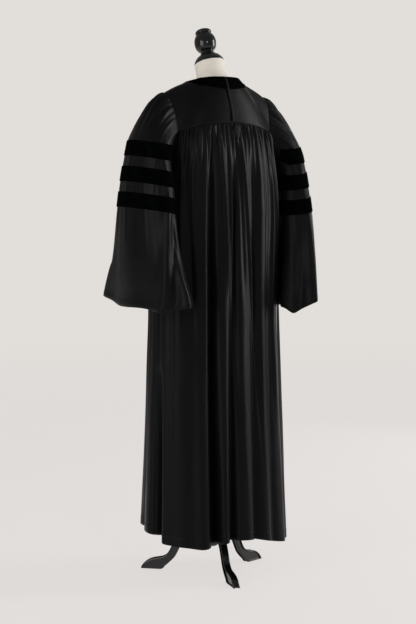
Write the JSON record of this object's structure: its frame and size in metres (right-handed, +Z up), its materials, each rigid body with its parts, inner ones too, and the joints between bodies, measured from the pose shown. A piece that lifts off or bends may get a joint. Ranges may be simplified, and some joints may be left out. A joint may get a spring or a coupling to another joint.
{
  "type": "graduation gown on dress form",
  "caption": "Full-length black academic gown with gathered yoke, wide bell sleeves and velvet bars, hanging open-hemmed on a limbless dress form with a tripod stand.",
  "frame": {"origin": "centre of the footprint's bounding box, on the floor", "axes": "+Z up the pole, +X towards the wearer's left, -Y the way the wearer faces"},
  "size_m": [0.6602, 0.4251, 1.699],
  "materials": {
    "gown_cloth": "black gown cloth with a faint satin sheen",
    "velvet": "deep black cotton velvet",
    "form_cover": "matte cream jersey cover",
    "black_lacquer": "black gloss lacquer on turned wood",
    "pole_metal": "black semi-gloss"
  },
  "bodies": {
    "root": {"yoke": "gown_cloth", "back_panel": "gown_cloth", "front_left": "gown_cloth", "front_right": "gown_cloth", "sleeve_left": "gown_cloth", "sleeve_right": "gown_cloth", "hood_strap": "gown_cloth", "hood_tab": "gown_cloth", "neck_band": "velvet", "front_band_left": "velvet", "front_band_right": "velvet", "bar_left_1": "velvet", "bar_left_2": "velvet", "bar_left_3": "velvet", "bar_right_1": "velvet", "bar_right_2": "velvet", "bar_right_3": "velvet", "form_torso": "form_cover", "neck_cap": "black_lacquer", "finial": "black_lacquer", "hub": "black_lacquer", "leg_1": "black_lacquer", "leg_2": "black_lacquer", "leg_3": "black_lacquer", "pole": "pole_metal"}
  },
  "joints": []
}
